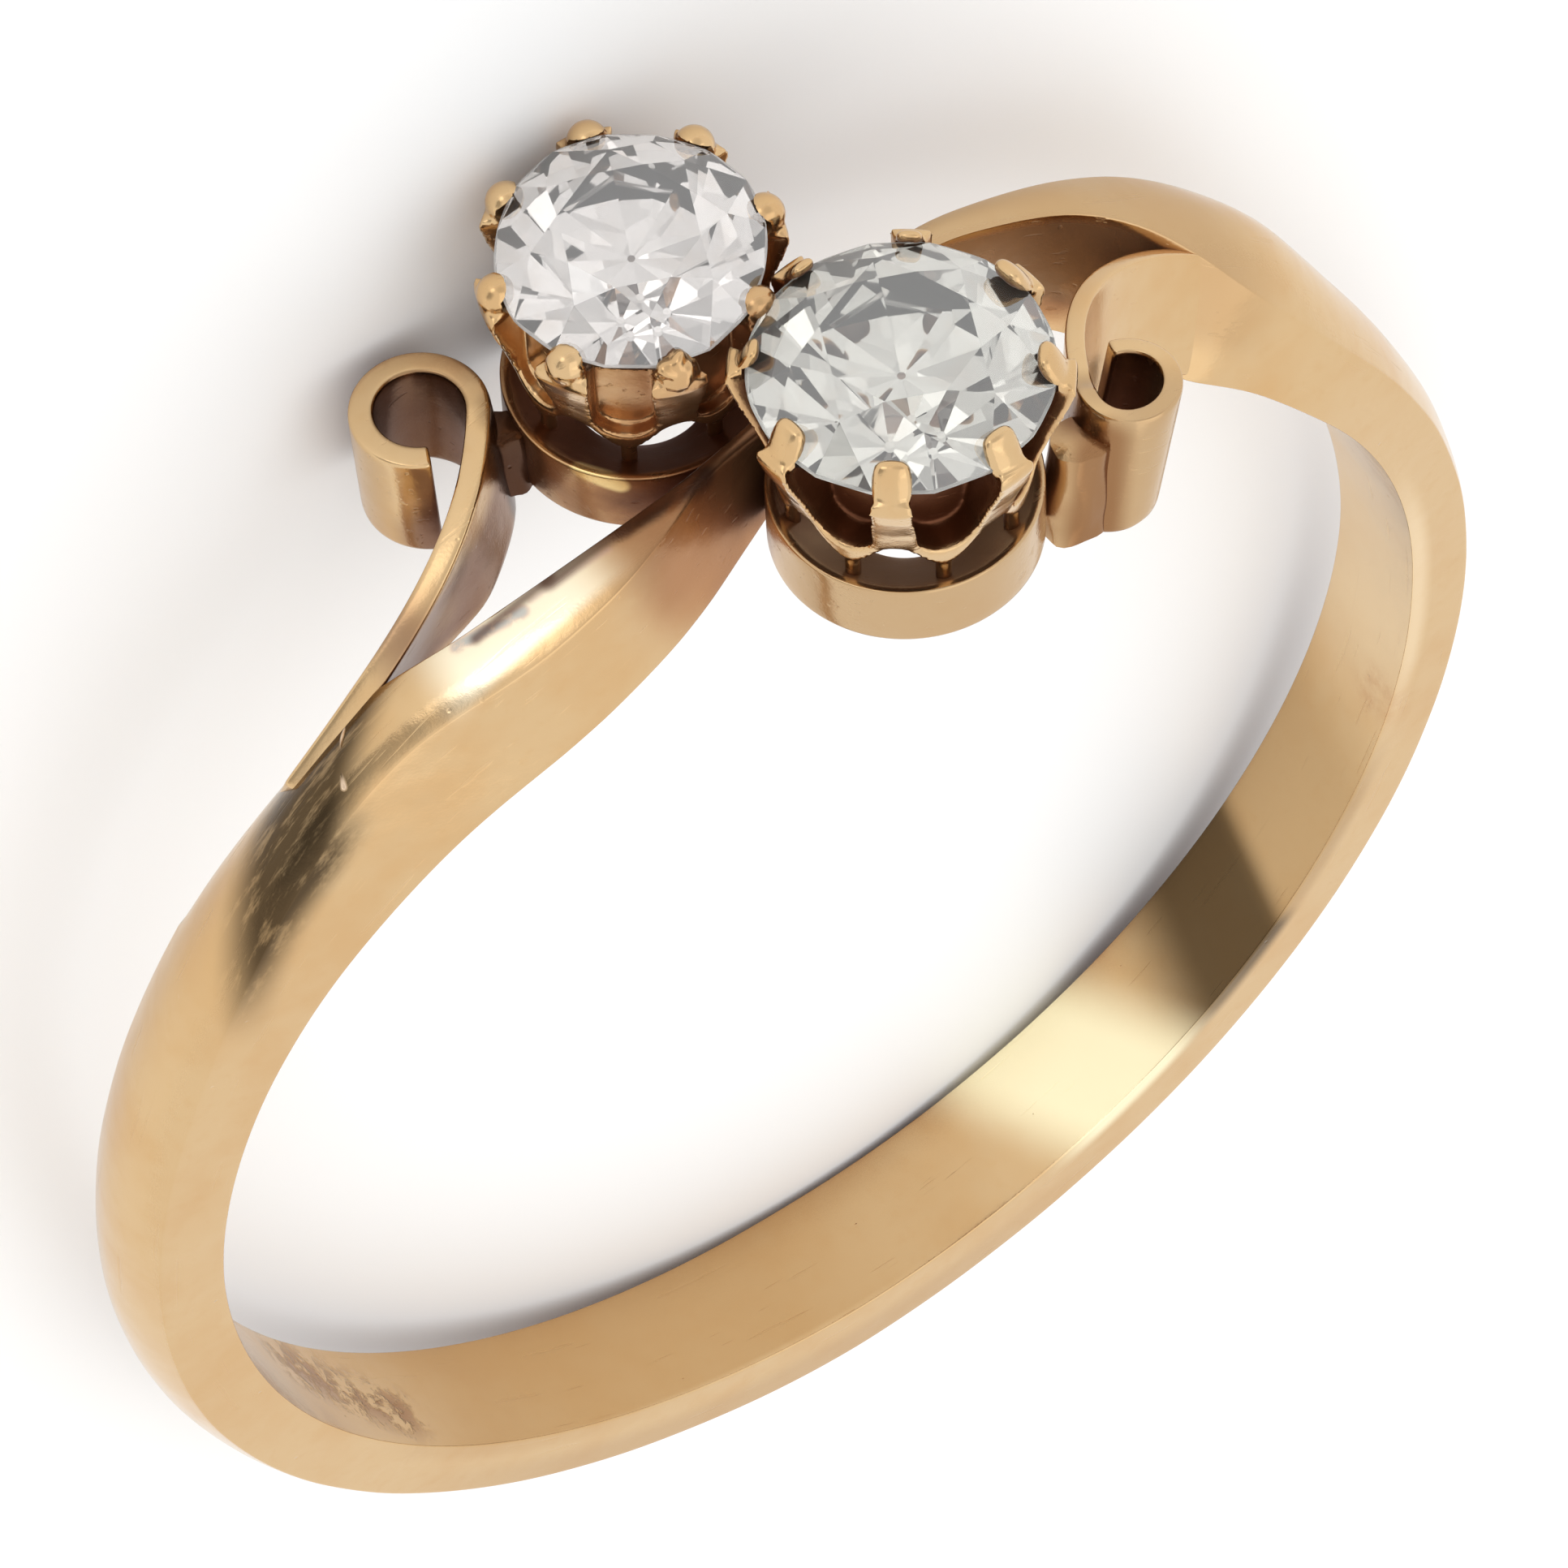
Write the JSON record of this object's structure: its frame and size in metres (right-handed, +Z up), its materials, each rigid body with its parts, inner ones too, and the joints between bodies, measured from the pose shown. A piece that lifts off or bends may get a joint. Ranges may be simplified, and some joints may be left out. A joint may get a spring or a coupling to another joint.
{
  "type": "toi et moi ring",
  "caption": "Gold bypass finger ring whose crossing arms carry a pair of old-cut diamonds in claw collets, with a curled scroll at each shoulder, lying on its side.",
  "frame": {"origin": "on the surface that the ring lies on, under the middle of its outline", "axes": "+Z up from the surface; the head with the two stones points toward -Y and the plain back of the shank toward +Y; +X is to the right of someone who faces the stones"},
  "size_m": [0.0196, 0.0226, 0.0069],
  "materials": {
    "gold": "warm rose-yellow gold, polished, with fine wear scratches and dark tarnish in the recesses",
    "diamond": "old-cut diamond, polished flat facets"
  },
  "bodies": {
    "root": {"gold_mount": "gold", "left_diamond": "diamond", "right_diamond": "diamond"}
  },
  "joints": []
}
